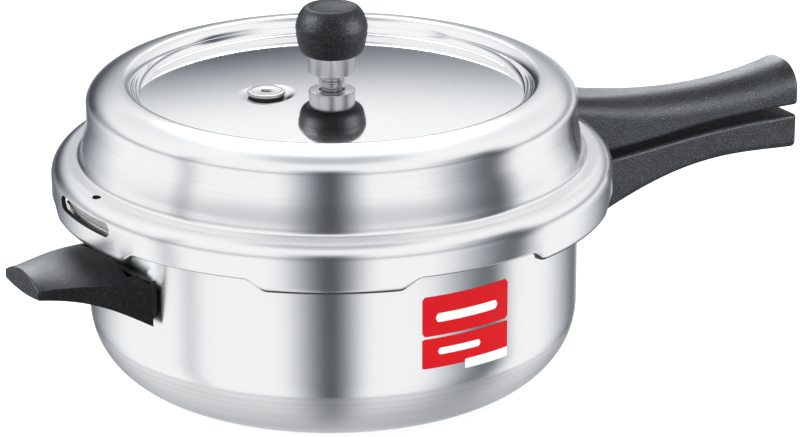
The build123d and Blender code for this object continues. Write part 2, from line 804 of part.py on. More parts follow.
with BuildPart() as helper_handle:
    # x, half width, underside z, ridge z, crown z
    helper_stations = (
        (helper_tip_x, 17.5, 70.4, 74.6, 79.8),
        (-151.0, 21.3, 68.5, 75.1, 79.3),
        (-138.0, 26.5, 65.0, 74.9, 79.0),
        (-126.0, 31.0, 59.4, 73.8, 78.8),
        (-108.0, 36.5, 49.5, 72.0, 78.4),
    )
    for x, half_width, bottom, ridge, crown in helper_stations:
        with BuildSketch(Plane.YZ.offset(x)):
            with BuildLine():
                Line((-half_width, ridge), (-half_width, bottom))
                ThreePointArc((-half_width, bottom), (0, bottom - 1.6), (half_width, bottom))
                Line((half_width, bottom), (half_width, ridge))
                ThreePointArc((half_width, ridge), (0, crown), (-half_width, ridge))
            make_face()
    loft()
    fillet(helper_handle.faces().sort_by(Axis.X)[0].edges(), 1.0)
    # The root is shaped to the bracket plate.
    with BuildSketch(Plane.XY):
        Circle(bracket_outer_radius + 0.9)
    extrude(amount=120, mode=Mode.SUBTRACT)
    # Notch in the top, over the bracket
    with BuildSketch(Plane.XY.offset(71.5)):
        with Locations((-115, 0)):
            Rectangle(15.6, 48)
    extrude(amount=20, mode=Mode.SUBTRACT)
    # Rooms for the rivet heads and the tongue
    for angle in helper_rivet_angles:
        with BuildSketch(radial_plane(angle, pan_radius, helper_rivet_z)):
            Circle(rivet_head_radius + 0.6)
        extrude(amount=6, mode=Mode.SUBTRACT)
    with BuildSketch(Plane.YZ.offset(-139)):
        with Locations((0, helper_tongue_z + bracket_sheet / 2)):
            Rectangle(2 * tongue_half_width + 1, bracket_sheet + 2 * clearance)
    extrude(amount=30, mode=Mode.SUBTRACT)
    with BuildSketch(Plane.XY.offset(helper_seat_z)):
        with Locations((helper_screw_x, 0)):
            Circle(screw_radius + clearance)
    extrude(amount=9.5, mode=Mode.SUBTRACT)
    with BuildSketch(Plane.XY.offset(helper_seat_z)):
        with Locations((helper_screw_x, 0)):
            Circle(5.2)
    extrude(amount=-20, mode=Mode.SUBTRACT)
helper_handle.part.label = "helper_handle"
export_step(helper_handle.part, "parts/helper_handle.step")

# ------------------------------------------------------------------ screws and rivets
pan_screw_length = 15.0
lid_screw_length = 8.5
helper_screw_length = 9.0

pan_screws = [cross_head_screw(facing_down(x, screw_seat_z), pan_screw_length) for x in pan_screw_x]
with BuildPart() as pan_handle_screws:
    add(pan_screws)
pan_handle_screws.part.label = "pan_handle_screws"
export_step(pan_handle_screws.part, "parts/pan_handle_screws.step")

lid_screws = [cross_head_screw(facing_down(x, lid_tongue_z), lid_screw_length) for x in lid_screw_x]
with BuildPart() as lid_handle_screws:
    add(lid_screws)
lid_handle_screws.part.label = "lid_handle_screws"
export_step(lid_handle_screws.part, "parts/lid_handle_screws.step")

helper_screw = cross_head_screw(facing_down(helper_screw_x, helper_seat_z), helper_screw_length)
with BuildPart() as helper_handle_screw:
    add(helper_screw)
helper_handle_screw.part.label = "helper_handle_screw"
export_step(helper_handle_screw.part, "parts/helper_handle_screw.step")


pan_rivets = rivet_pair(pan_rivet_angles, bracket_outer_radius, pan_inner_radius - 0.1, pan_rivet_z)
with BuildPart() as pan_bracket_rivets:
    add(pan_rivets)
pan_bracket_rivets.part.label = "pan_bracket_rivets"
export_step(pan_bracket_rivets.part, "parts/pan_bracket_rivets.step")

helper_rivets = rivet_pair(
    helper_rivet_angles, bracket_outer_radius, pan_inner_radius - 0.1, helper_rivet_z
)
with BuildPart() as helper_bracket_rivets:
    add(helper_rivets)
helper_bracket_rivets.part.label = "helper_bracket_rivets"
export_step(helper_bracket_rivets.part, "parts/helper_bracket_rivets.step")

lid_rivets = rivet_pair(lid_rivet_angles, bracket_foot_radius + 2.2, 116.6, lid_rivet_z)
with BuildPart() as lid_bracket_rivets:
    add(lid_rivets)
lid_bracket_rivets.part.label = "lid_bracket_rivets"
export_step(lid_bracket_rivets.part, "parts/lid_bracket_rivets.step")

# ------------------------------------------------------------------ sticker
label_middle = label_start_angle + label_arc / 2
label_half = (pan_radius + label_thickness) * math.sin(math.radians(label_arc / 2))
tag_left = -1.5
tag_low_z = 37.2
tag_high_z = 42.0
label_low_z = 40.4
label_gap_z = 55.5
label_high_z = 75.4
label_gap = 1.3


wall_skin = label_skin()

with BuildPart() as front_label:
    with BuildSketch(radial_plane(label_middle, pan_radius - 20, 0)):
        with Locations((0, (label_gap_z + label_gap / 2 + label_high_z) / 2)):
            RectangleRounded(2 * label_half, label_high_z - label_gap_z - label_gap / 2, 2.0)
        with Locations((0, (label_low_z + label_gap_z - label_gap / 2) / 2)):
            RectangleRounded(2 * label_half, label_gap_z - label_gap / 2 - label_low_z, 2.0)
        with Locations(((tag_left + label_half + 1) / 2, tag_high_z - 5)):
            Rectangle(label_half - tag_left + 1, 10, mode=Mode.SUBTRACT)
    extrude(amount=25)
    add(wall_skin, mode=Mode.INTERSECT)
front_label.part.label = "front_label"
export_step(front_label.part, "parts/front_label.step")

with BuildPart() as label_tag:
    with BuildSketch(radial_plane(label_middle, pan_radius - 20, 0)):
        with Locations(((tag_left + label_half) / 2, (tag_low_z + tag_high_z) / 2)):
            Rectangle(label_half - tag_left - 0.1, tag_high_z - tag_low_z - 0.1)
    extrude(amount=25)
    add(wall_skin, mode=Mode.INTERSECT)
label_tag.part.label = "label_tag"
export_step(label_tag.part, "parts/label_tag.step")
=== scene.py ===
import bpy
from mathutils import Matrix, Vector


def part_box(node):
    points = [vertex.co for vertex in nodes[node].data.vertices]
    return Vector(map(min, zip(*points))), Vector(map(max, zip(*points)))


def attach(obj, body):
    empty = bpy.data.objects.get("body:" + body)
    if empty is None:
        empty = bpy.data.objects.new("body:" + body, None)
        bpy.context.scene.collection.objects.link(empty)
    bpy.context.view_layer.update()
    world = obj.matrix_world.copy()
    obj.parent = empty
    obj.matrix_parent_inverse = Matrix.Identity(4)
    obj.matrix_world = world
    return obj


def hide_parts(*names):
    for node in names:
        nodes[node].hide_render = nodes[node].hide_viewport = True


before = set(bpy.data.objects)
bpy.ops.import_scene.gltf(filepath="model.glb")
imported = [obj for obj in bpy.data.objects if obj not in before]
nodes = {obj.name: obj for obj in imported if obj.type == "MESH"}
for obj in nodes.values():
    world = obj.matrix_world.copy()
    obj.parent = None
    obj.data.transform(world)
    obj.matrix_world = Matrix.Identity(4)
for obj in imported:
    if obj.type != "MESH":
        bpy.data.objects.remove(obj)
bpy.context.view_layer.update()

import math

import bmesh
import bpy
from mathutils import Matrix, Vector

scene = bpy.context.scene
MM = 0.001

skirt_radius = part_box("lid_shell")[1][0] / MM - 0.01
pan_radius = 117.4


# ------------------------------------------------------------------ outlines of turned pieces
def line(a, b, count=2):
    """Points from a to b, without b."""
    return [(a[0] + (b[0] - a[0]) * i / count, a[1] + (b[1] - a[1]) * i / count) for i in range(count)]


def arc(centre, radius, start, end, count=12, radius_y=None):
    """Points of a circular or elliptical arc, angles in degrees, without its end."""
    ry = radius if radius_y is None else radius_y
    points = []
    for i in range(count):
        turn = math.radians(start + (end - start) * i / count)
        points.append((centre[0] + radius * math.cos(turn), centre[1] + ry * math.sin(turn)))
    return points


def curve(points, count=10, start=None, end=None):
    """A smooth curve through the points, without the last one.  start and end are directions."""
    result = []
    for i in range(len(points) - 1):
        p, q = Vector(points[i]), Vector(points[i + 1])
        if i > 0:
            m = (q - Vector(points[i - 1])) / 2
        else:
            m = Vector(start) * (q - p).length if start else q - p
        if i + 2 < len(points):
            n = (Vector(points[i + 2]) - p) / 2
        else:
            n = Vector(end) * (q - p).length if end else q - p
        for k in range(count):
            t = k / count
            a, b = 2 * t ** 3 - 3 * t ** 2 + 1, t ** 3 - 2 * t ** 2 + t
            c, d = 3 * t ** 2 - 2 * t ** 3, t ** 3 - t ** 2
            point = a * p + b * m + c * q + d * n
            result.append((point.x, point.y))
    return result


def smoothstep(low, high, value):
    """0 below low, 1 above high, and smooth between."""
    t = min(1, max(0, (value - low) / (high - low)))
    return t * t * (3 - 2 * t)


# ------------------------------------------------------------------ mesh helpers
def finish_mesh(name, bm, body, material, sharp=32.0):
    """Turns a bmesh into a smooth object that rides on a CAD body.  Edges over sharp degrees stay crisp."""
    bmesh.ops.remove_doubles(bm, verts=bm.verts, dist=2e-7)
    bmesh.ops.recalc_face_normals(bm, faces=bm.faces)
    mesh = bpy.data.meshes.new(name)
    bm.to_mesh(mesh)
    bm.free()
    for polygon in mesh.polygons:
        polygon.use_smooth = True
    mesh.set_sharp_from_angle(angle=math.radians(sharp))
    obj = bpy.data.objects.new(name, mesh)
    scene.collection.objects.link(obj)
    obj.data.materials.append(material)
    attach(obj, body)
    return obj


def turned(outline, segments, centre=(0, 0), closed=True):
    """Sweeps an outline of (radius, height) round an upright axis.

    The outline may be a function of the angle.  closed joins its last point to its first.
    """
    bm = bmesh.new()
    rings = []
    for i in range(segments):
        angle = 360 * i / segments
        points = outline(angle) if callable(outline) else outline
        turn = math.radians(angle)
        c, s = math.cos(turn), math.sin(turn)
        rings.append([
            bm.verts.new(((centre[0] + r * c) * MM, (centre[1] + r * s) * MM, z * MM)) for r, z in points
        ])
    count = len(rings[0])
    last = count if closed else count - 1
    for i in range(segments):
        a, b = rings[i], rings[(i + 1) % segments]
        for k in range(last):
            n = (k + 1) % count
            bm.faces.new((a[k], b[k], b[n], a[n]))
    return bm


def arc_block(bm, outline, start, end, steps):
    """A closed block: an outline of (radius, height) swept from one angle to another, with end caps."""
    rings = []
    for i in range(steps + 1):
        turn = math.radians(start + (end - start) * i / steps)
        c, s = math.cos(turn), math.sin(turn)
        rings.append([bm.verts.new((r * c * MM, r * s * MM, z * MM)) for r, z in outline])
    count = len(outline)
    for i in range(steps):
        for k in range(count):
            n = (k + 1) % count
            bm.faces.new((rings[i][k], rings[i + 1][k], rings[i + 1][n], rings[i][n]))
    bm.faces.new(rings[0])
    bm.faces.new(list(reversed(rings[-1])))


# ------------------------------------------------------------------ material helpers
def new_material(name):
    """An empty node material with one Principled shader."""
    material = bpy.data.materials.new(name)
    material.use_nodes = True
    tree = material.node_tree
    tree.nodes.clear()
    output = tree.nodes.new("ShaderNodeOutputMaterial")
    shader = tree.nodes.new("ShaderNodeBsdfPrincipled")
    tree.links.new(shader.outputs["BSDF"], output.inputs["Surface"])
    return material, tree, shader


def node(tree, kind, settings=None, **inputs):
    """Adds a node, sets its properties and its inputs, and links any input that is a socket.

    An input called i0, i1 and so on is found by its number, and any other by its name.
    """
    made = tree.nodes.new(kind)
    for key, value in (settings or {}).items():
        setattr(made, key, value)
    for key, value in inputs.items():
        socket = made.inputs[int(key[1:])] if key[0] == "i" and key[1:].isdigit() else made.inputs[key]
        if isinstance(value, bpy.types.NodeSocket):
            tree.links.new(value, socket)
        else:
            socket.default_value = value
    return made


def math_node(tree, operation, a, b=0.0):
    """One Math node, as its output socket."""
    return node(tree, "ShaderNodeMath", {"operation": operation}, i0=a, i1=b).outputs[0]


def ramp(tree, value, low, high, out_low, out_high, kind="SMOOTHSTEP"):
    """A Map Range node, as its output socket."""
    return node(
        tree, "ShaderNodeMapRange", {"interpolation_type": kind},
        Value=value, i1=low, i2=high, i3=out_low, i4=out_high,
    ).outputs[0]


def noise(tree, vector, scale, detail, roughness):
    """A Noise Texture node, as its factor socket."""
    return node(
        tree, "ShaderNodeTexNoise", None, Vector=vector, Scale=scale, Detail=detail, Roughness=roughness,
    ).outputs[0]


def add_bump(tree, shader, height, strength, distance):
    """Lets a height socket bump the shader's surface."""
    bumped = node(tree, "ShaderNodeBump", None, Strength=strength, Distance=distance, Height=height)
    tree.links.new(bumped.outputs[0], shader.inputs["Normal"])


def scaled(color, factor):
    """The same colour, lighter or darker."""
    return [channel * factor for channel in color[:3]] + [1]


def mix_color(tree, factor, a, b):
    """Mixes two colours by a factor."""
    mixed = tree.nodes.new("ShaderNodeMix")
    mixed.data_type = "RGBA"
    for index, value in ((0, factor), (6, a), (7, b)):
        if isinstance(value, bpy.types.NodeSocket):
            tree.links.new(value, mixed.inputs[index])
        else:
            mixed.inputs[index].default_value = value
    return mixed.outputs[2]


def place(tree):
    """The object's own coordinates, split into x, y, z, with the radius from the axis."""
    coordinates = tree.nodes.new("ShaderNodeTexCoord").outputs["Object"]
    x, y, z = node(tree, "ShaderNodeSeparateXYZ", None, i0=coordinates).outputs
    square = math_node(tree, "ADD", math_node(tree, "MULTIPLY", x, x), math_node(tree, "MULTIPLY", y, y))
    return coordinates, x, y, z, math_node(tree, "SQRT", square)


def polished_metal(name, color, roughness, anisotropy, brushed_below=None, line_scale=3500.0, bump=0.02):
    """Turned and polished metal.  The lines run round the axis, so highlights stretch across them.

    Below the height brushed_below, in metres, the metal is brushed with coarser, greyer lines.
    """
    material, tree, shader = new_material(name)
    coordinates, _, _, z, radius = place(tree)
    shader.inputs["Metallic"].default_value = 1.0
    shader.inputs["Anisotropic"].default_value = anisotropy
    shader.inputs["Anisotropic Rotation"].default_value = 0.25
    tangent = node(tree, "ShaderNodeTangent", {"direction_type": "RADIAL", "axis": "Z"})
    tree.links.new(tangent.outputs[0], shader.inputs["Tangent"])
    # Fine lines round the axis: noise that changes only along the outline
    along = node(tree, "ShaderNodeCombineXYZ", None, i0=radius, i1=z, i2=0.0).outputs[0]
    lines = noise(tree, along, line_scale, 3.0, 0.6)
    clouds = noise(tree, coordinates, 14.0, 4.0, 0.55)
    cloudy = math_node(tree, "ADD", ramp(tree, clouds, 0.3, 0.7, -0.01, 0.015, "LINEAR"), roughness)
    rough = math_node(tree, "ADD", cloudy, ramp(tree, lines, 0.3, 0.7, -0.01, 0.01, "LINEAR"))
    base = mix_color(tree, ramp(tree, lines, 0.35, 0.65, 0.0, 1.0), color, scaled(color, 0.96))
    if brushed_below is not None:
        half_fade = 0.0007
        band = ramp(tree, z, brushed_below - half_fade, brushed_below + half_fade, 1.0, 0.0)
        coarse = noise(tree, along, 2300.0, 3.0, 0.75)
        grey = mix_color(
            tree, ramp(tree, coarse, 0.35, 0.65, 0.0, 1.0), (0.90, 0.90, 0.905, 1), (0.74, 0.74, 0.75, 1)
        )
        base = mix_color(tree, band, base, grey)
        rough = math_node(tree, "ADD", rough, math_node(tree, "MULTIPLY", band, 0.16))
    tree.links.new(base, shader.inputs["Base Color"])
    tree.links.new(rough, shader.inputs["Roughness"])
    add_bump(tree, shader, lines, bump, 0.0002)
    return material


def bakelite(name, color, roughness):
    """Moulded black phenolic with a fine sparkle and a slight moulded grain."""
    material, tree, shader = new_material(name)
    coordinates = tree.nodes.new("ShaderNodeTexCoord").outputs["Object"]
    flecks = node(
        tree, "ShaderNodeTexVoronoi", {"feature": "F1"}, Vector=coordinates, Scale=2400.0, Randomness=1.0,
    )
    chosen = node(tree, "ShaderNodeSeparateColor", None, i0=flecks.outputs["Color"]).outputs[0]
    fleck = math_node(
        tree, "MULTIPLY",
        ramp(tree, chosen, 0.80, 0.97, 0.0, 1.0),
        ramp(tree, flecks.outputs["Distance"], 0.25, 0.5, 1.0, 0.0),
    )
    cloud = noise(tree, coordinates, 60.0, 5.0, 0.6)
    dark = mix_color(tree, ramp(tree, cloud, 0.3, 0.7, 0.0, 1.0), color, scaled(color, 1.5))
    base = mix_color(tree, fleck, dark, (0.07, 0.07, 0.07, 1))
    shader.inputs["Specular IOR Level"].default_value = 0.12
    tree.links.new(base, shader.inputs["Base Color"])
    tree.links.new(
        math_node(tree, "ADD", ramp(tree, cloud, 0.3, 0.7, -0.05, 0.06, "LINEAR"), roughness),
        shader.inputs["Roughness"],
    )
    add_bump(tree, shader, noise(tree, coordinates, 1500.0, 2.0, 0.6), 0.6, 0.0004)
    return material


def soft_material(name, color, roughness, metallic=0.0, grain=700.0, strength=0.1, specular=0.5, fade=0.82):
    """A plain surface with cloudy colour, uneven gloss and a fine grain.  fade is its darkest cloud."""
    material, tree, shader = new_material(name)
    coordinates = tree.nodes.new("ShaderNodeTexCoord").outputs["Object"]
    cloud = noise(tree, coordinates, 90.0, 4.0, 0.6)
    base = mix_color(tree, ramp(tree, cloud, 0.3, 0.7, 0.0, 1.0), color, scaled(color, fade))
    shader.inputs["Specular IOR Level"].default_value = specular
    shader.inputs["Metallic"].default_value = metallic
    tree.links.new(base, shader.inputs["Base Color"])
    tree.links.new(
        math_node(tree, "ADD", ramp(tree, cloud, 0.3, 0.7, -0.06, 0.08, "LINEAR"), roughness),
        shader.inputs["Roughness"],
    )
    add_bump(tree, shader, noise(tree, coordinates, grain, 2.0, 0.6), strength, 0.0002)
    return material


body_metal = polished_metal("body_aluminium", (0.93, 0.93, 0.935, 1), 0.22, 0.9, brushed_below=0.0295)
plate_metal = polished_metal("plate_aluminium", (0.92, 0.925, 0.93, 1), 0.045, 0.0, bump=0.004)
lid_metal = polished_metal("lid_aluminium", (0.92, 0.92, 0.925, 1), 0.19, 0.85)
steel = polished_metal("turned_steel", (0.64, 0.64, 0.65, 1), 0.32, 0.5)
valve_metal = polished_metal("valve_aluminium", (0.52, 0.52, 0.52, 1), 0.40, 0.0, line_scale=2000.0, bump=0.2)
bakelite_color = (0.006, 0.0066, 0.0072, 1)
black = bakelite("black_bakelite", bakelite_color, 0.42)
knob_black = bakelite("knob_bakelite", bakelite_color, 0.38)
rubber = soft_material("gasket_rubber", (0.55, 0.55, 0.54, 1), 0.55)
enamel = soft_material("black_enamel", (0.02, 0.02, 0.02, 1), 0.35)
zinc = soft_material("plated_steel", (0.6, 0.6, 0.62, 1), 0.3, metallic=1.0)
# Painted shade: a dark, dull material that stands in for the shade on the walls cut through the sheet, along
# the skirt's downturned lip and under the valve's lip.
painted_shade = soft_material("shade_painted_edges", (0.045, 0.045, 0.047, 1), 0.5, metallic=0.6)
satin = soft_material("satin_aluminium", (0.75, 0.75, 0.76, 1), 0.35, metallic=1.0)
alloy = soft_material("fusible_alloy", (0.38, 0.38, 0.4, 1), 0.45, metallic=1.0)
film = {"roughness": 0.4, "grain": 2000.0, "strength": 0.03}
red = soft_material("red_film", (0.66, 0.004, 0.010, 1), specular=0.12, fade=0.95, **film)
white = soft_material("white_film", (0.9, 0.9, 0.89, 1), specular=0.2, fade=0.97, **film)

# ------------------------------------------------------------------ lid
lid_sheet = 2.2
plate_radius, plate_edge_z, plate_crown_z = 91.0, 138.3, 143.1
ridge_radius, ridge_top_z = 99.0, 145.7
wall_radius, wall_top_z, wall_flare_z = 116.7, 135.4, 128.0
foot_radius, flange_top_z, bead_radius = 120.3, 109.0, 8.0
foot_start, foot_end = foot_radius - 1.2, foot_radius + 1.8
ledge_radius, ledge_z = 93.2, 141.3
ledge_end = (ledge_radius + 0.7, ledge_z + 0.1)
skirt_low_z, lug_low_z, hook_radius, hook_round = 91.8, 85.5, 127.6, 4.0
skirt_end_z = skirt_low_z + 4
bead_x, bead_z = skirt_radius - bead_radius, flange_top_z - bead_radius
# A lug keeps its full depth this far either side of its middle, and is gone at the second angle.
lug_full, lug_gone = 13.0, 17.6
groove_radius, groove_half, groove_depth = 125.6, 3.0, 0.9
groove_start, groove_end, groove_fade = 184.5, 297.0, 7.0
valve_x = -35.5
valve_seat_radius, valve_seat_slope, valve_seat_z = 9.4, 4.2, 141.75


def plate_height(radius):
    """The plate's outer skin, a very flat dome."""
    crown_radius = 860
    return plate_crown_z - (crown_radius - math.sqrt(crown_radius ** 2 - radius ** 2))


def plate_line(drop, outward):
    """The plate from its centre to its edge, or back, with a given thickness taken off.

    Its rings lie closer together where the valve's seat is pressed in.
    """
    radii = [i * 1.5 for i in range(40)] + [60 + i * 3.1 for i in range(10)]
    points = [(r, plate_height(r) - drop) for r in radii]
    return points if outward else list(reversed(points))


inner_skirt = skirt_radius - lid_sheet
hook_x, hook_z = skirt_radius - hook_round, lug_low_z + hook_round
hook_top_z = lug_low_z + lid_sheet
# The skirt's lower edge at a lug, where it turns in as a hook, and between lugs, where it is just round
lug_edge = (
    arc((hook_x, hook_z), hook_round, 0, -90, 9)
    + line((hook_x, lug_low_z), (hook_radius, lug_low_z), 5)
    + line((hook_radius, lug_low_z), (hook_radius, hook_top_z), 3)
    + line((hook_radius, hook_top_z), (hook_x, hook_top_z), 4)
    + arc((hook_x, hook_z), hook_round - lid_sheet, -90, 0, 7)
)
edge_round = lid_sheet / 2
plain_edge = arc((skirt_radius - edge_round, skirt_low_z + edge_round), edge_round, 0, -180, len(lug_edge))

outer_skin = (
    plate_line(0, True)
    + curve([(plate_radius, plate_edge_z), (ledge_radius, ledge_z)], 6, (0.8, 0.3), (0.3, 1))
    + line((ledge_radius, ledge_z), ledge_end, 3)
    + curve([ledge_end, (ridge_radius - 3.2, ridge_top_z - 1.5), (ridge_radius, ridge_top_z)],
            9, (0.3, 1), (1, 0))
    + arc((ridge_radius, wall_top_z), wall_radius - ridge_radius, 90, 0, 40, ridge_top_z - wall_top_z)
    + line((wall_radius, wall_top_z), (wall_radius, wall_flare_z), 5)
    + curve([(wall_radius, wall_flare_z), (foot_start, flange_top_z + 6), (foot_end, flange_top_z)],
            12, (0, -1), (1, 0))
    + line((foot_end, flange_top_z), (bead_x, flange_top_z), 12)
    + arc((bead_x, bead_z), bead_radius, 90, 0, 36)
    + line((skirt_radius, bead_z), (skirt_radius, skirt_end_z), 5)
)
inner_skin = (
    line((inner_skirt, skirt_end_z), (inner_skirt, bead_z), 4)
    + arc((bead_x, bead_z), bead_radius - lid_sheet, 0, 90, 12)
    + line((bead_x, flange_top_z - lid_sheet), (foot_radius + 0.2, flange_top_z - lid_sheet), 4)
    + curve([(foot_radius + 0.2, flange_top_z - lid_sheet),
             (foot_start - lid_sheet, flange_top_z + 5),
             (wall_radius - lid_sheet, wall_flare_z)], 8, (-1, 0), (0, 1))
    + line((wall_radius - lid_sheet, wall_flare_z), (wall_radius - lid_sheet, wall_top_z), 3)
    + arc((ridge_radius, wall_top_z), wall_radius - ridge_radius - lid_sheet, 0, 90, 14,
          ridge_top_z - wall_top_z - lid_sheet)
    + curve([(ridge_radius, ridge_top_z - lid_sheet), (ridge_radius - 3.0, ridge_top_z - 2.6 - lid_sheet),
             (plate_radius, plate_edge_z - lid_sheet)], 6, (-1, 0), (-0.8, -0.05))
    + plate_line(lid_sheet, False)
)


def lid_outline(angle):
    """The lid's outline at one angle: six lugs hang from the skirt, and a groove runs along the flange."""
    from_lug = abs((angle + 30) % 60 - 30)
    lug = 1 - smoothstep(lug_full, lug_gone, from_lug)
    edge = [
        (a[0] + (b[0] - a[0]) * lug, a[1] + (b[1] - a[1]) * lug) for a, b in zip(plain_edge, lug_edge)
    ]
    groove = smoothstep(groove_start, groove_start + groove_fade, angle) * (
        1 - smoothstep(groove_end - groove_fade, groove_end, angle)
    )
    top = outer_skin
    if groove > 0:
        top = []
        for r, z in outer_skin:
            across = abs(r - groove_radius) / groove_half
            if across < 1 and z > bead_z:
                z -= groove * groove_depth * (0.5 + 0.5 * math.cos(math.pi * across))
            top.append((r, z))
    return top + edge + inner_skin


def press_valve_seat(bm):
    """Presses the flat round seat of the safety valve into the plate's outer skin."""
    seat_end = valve_seat_radius + valve_seat_slope
    for vertex in bm.verts:
        away = math.hypot(vertex.co.x / MM - valve_x, vertex.co.y / MM)
        height = vertex.co.z / MM
        if away < seat_end and height > valve_seat_z:
            depth = 1 - smoothstep(valve_seat_radius, seat_end, away)
            vertex.co.z = (height + (valve_seat_z - height) * depth) * MM


lid_mesh = turned(lid_outline, 720, closed=False)
press_valve_seat(lid_mesh)
lid = finish_mesh("lid_pressing", lid_mesh, "lid", lid_metal)


def cutter(points, start, end, matrix):
    """A prism to cut with: 2-D points swept from start to end along the matrix's Z axis."""
    bm = bmesh.new()
    low = [bm.verts.new(matrix @ Vector((x * MM, y * MM, start * MM))) for x, y in points]
    high = [bm.verts.new(matrix @ Vector((x * MM, y * MM, end * MM))) for x, y in points]
    count = len(points)
    for i in range(count):
        n = (i + 1) % count
        bm.faces.new((low[i], low[n], high[n], high[i]))
    bm.faces.new(list(reversed(low)))
    bm.faces.new(high)
    bmesh.ops.recalc_face_normals(bm, faces=bm.faces)
    mesh = bpy.data.meshes.new("cutter")
    bm.to_mesh(mesh)
    bm.free()
    obj = bpy.data.objects.new("cutter", mesh)
    # The cutter carries the painted shade, and the cut walls of the slot and hole take it over.
    obj.data.materials.append(painted_shade)
    scene.collection.objects.link(obj)
    return obj


def cut(obj, tool):
    """Cuts the tool's shape out of obj and removes the tool.  The cut faces take the tool's material."""
    modifier = obj.modifiers.new("cut", "BOOLEAN")
    modifier.operation = "DIFFERENCE"
    modifier.solver = "EXACT"
    modifier.material_mode = "TRANSFER"
    modifier.object = tool
    graph = bpy.context.evaluated_depsgraph_get()
    graph.update()
    made = bpy.data.meshes.new_from_object(obj.evaluated_get(graph))
    obj.modifiers.clear()
    old = obj.data
    obj.data = made
    made.name = old.name
    bpy.data.objects.remove(tool)


# The gasket release slot in the skirt, over the helper handle
slot_half_angle, slot_half_height, slot_z = 10.5, 3.45, 99.75
slot_cut_start, slot_cut_end = 124, 137
slot_end = skirt_radius * math.sin(math.radians(slot_half_angle)) - slot_half_height
slot_outline = (
    arc((slot_end, 0), slot_half_height, -90, 90)
    + [(slot_end, slot_half_height)]
    + arc((-slot_end, 0), slot_half_height, 90, 270)
    + [(-slot_end, -slot_half_height)]
)
sideways = Matrix(((0, 0, -1, 0), (1, 0, 0, 0), (0, 1, 0, slot_z * MM), (0, 0, 0, 1)))
cut(lid, cutter(slot_outline, slot_cut_start, slot_cut_end, sideways))

# The small oval hole through the flange, above the slot
peep_x, peep_y = -126.8, -2.8
peep_half_width, peep_half_length = 1.9, 2.6
peep_outline = arc((0, 0), peep_half_width, 0, 360, 24, peep_half_length)
upright = Matrix.Translation((peep_x * MM, peep_y * MM, 0))
cut(lid, cutter(peep_outline, flange_top_z - 4, flange_top_z + 2, upright))

lid.data.materials.append(plate_metal)
plate_slot = len(lid.data.materials) - 1
lid.data.materials.append(painted_shade)
lip_shade_slot = plate_slot + 1
# Faces of the skirt that look down more steeply than this get painted shade, a dark line along its lip.
lip_shade_slope = -0.55
for polygon in lid.data.polygons:
    middle = polygon.center / MM
    away = math.hypot(middle.x, middle.y)
    if away < ridge_radius:
        polygon.material_index = plate_slot
    elif polygon.normal.z < lip_shade_slope and away > hook_radius:
        polygon.material_index = lip_shade_slot
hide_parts("lid_shell")

# ------------------------------------------------------------------ pan
pan_wall, floor_top, corner = 3.0, 4.0, 36.0
inner_radius = pan_radius - pan_wall
flat_radius = pan_radius - corner
inner_corner = corner - pan_wall
inner_corner_z = floor_top + inner_corner
rim_top, rim_low, rim_radius = 97.4, 94.4, 126.8
rim_flare, rim_round = 2.5, 3.0
pan_outline = (
    line((0, 0), (flat_radius, 0), 30)
    + arc((flat_radius, corner), corner, -90, 0, 40)
    + line((pan_radius, corner), (pan_radius, rim_low - rim_flare), 20)
    + line((pan_radius, rim_low - rim_flare), (pan_radius + rim_flare, rim_low), 3)
    + line((pan_radius + rim_flare, rim_low), (rim_radius, rim_low), 3)
    + line((rim_radius, rim_low), (rim_radius, rim_top), 3)
    + line((rim_radius, rim_top), (inner_radius + rim_round, rim_top), 3)
    + arc((inner_radius + rim_round, rim_top - rim_round), rim_round, 90, 180, 8)
    + line((inner_radius, rim_top - rim_round), (inner_radius, inner_corner_z), 12)
    + arc((flat_radius, inner_corner_z), inner_corner, 0, -90, 30)
    + line((flat_radius, floor_top), (0, floor_top), 20)
    + [(0, floor_top)]
)
pan_mesh = turned(pan_outline, 360, closed=False)

# Six lugs hang from the rim, one for each of the lid's
pan_lug_half_angle = 13
lug_root, lug_outer, lug_inner, lug_low = rim_radius - 1, 130.4, 127.6, 88.3
lug_outline = [
    (lug_root, rim_top), (lug_outer - 0.8, rim_top), (lug_outer - 0.2, rim_top - 0.2),
    (lug_outer, rim_top - 0.8), (lug_outer, lug_low + 0.6), (lug_outer - 0.2, lug_low + 0.1),
    (lug_outer - 0.6, lug_low), (lug_inner + 0.3, lug_low), (lug_inner, lug_low + 0.5),
    (lug_inner, rim_low), (lug_root, rim_low),
]
for index in range(6):
    middle_angle = index * 60
    arc_block(
        pan_mesh, lug_outline, middle_angle - pan_lug_half_angle, middle_angle + pan_lug_half_angle, 26
    )
pan = finish_mesh("pan_pressing", pan_mesh, "pan", body_metal)
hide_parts("pan_body")

# ------------------------------------------------------------------ weight
knob_low, knob_high, knob_radius = 156.7, 180.0, 17.0
knob_foot = knob_radius - 4.6
core_radius, core_top = 9.0, 172.0
seam_low, seam_radius = knob_low + 9.6, knob_radius - 0.07
dish_radius, dish_depth = 11.4, 1.6
knob_outline = (
    line((core_radius, knob_low), (knob_foot, knob_low), 3)
    + curve([(knob_foot, knob_low), (knob_radius - 1.7, knob_low + 2.6), (knob_radius - 0.3, knob_low + 9.0)],
            8, (1, 0.1))
    # The mould's seam stands a little proud.
    + [(knob_radius - 0.25, seam_low), (seam_radius, seam_low + 0.15),
       (seam_radius, seam_low + 0.35), (knob_radius - 0.22, seam_low + 0.5)]
    + curve([(knob_radius - 0.2, seam_low + 0.7), (knob_radius, knob_high - 9.0),
             (knob_radius - 1.9, knob_high - 3.2), (dish_radius, knob_high)], 9, (0, 1), (-1, 0.1))
    + curve([(dish_radius, knob_high), (dish_radius - 3.2, knob_high - 0.9), (0, knob_high - dish_depth)],
            8, (-1, 0), (-1, 0))
    + [(0, knob_high - dish_depth), (0, core_top), (core_radius, core_top)]
)
knob = finish_mesh("weight_grip", turned(knob_outline, 160), "weight", knob_black, 40)
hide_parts("weight_knob")

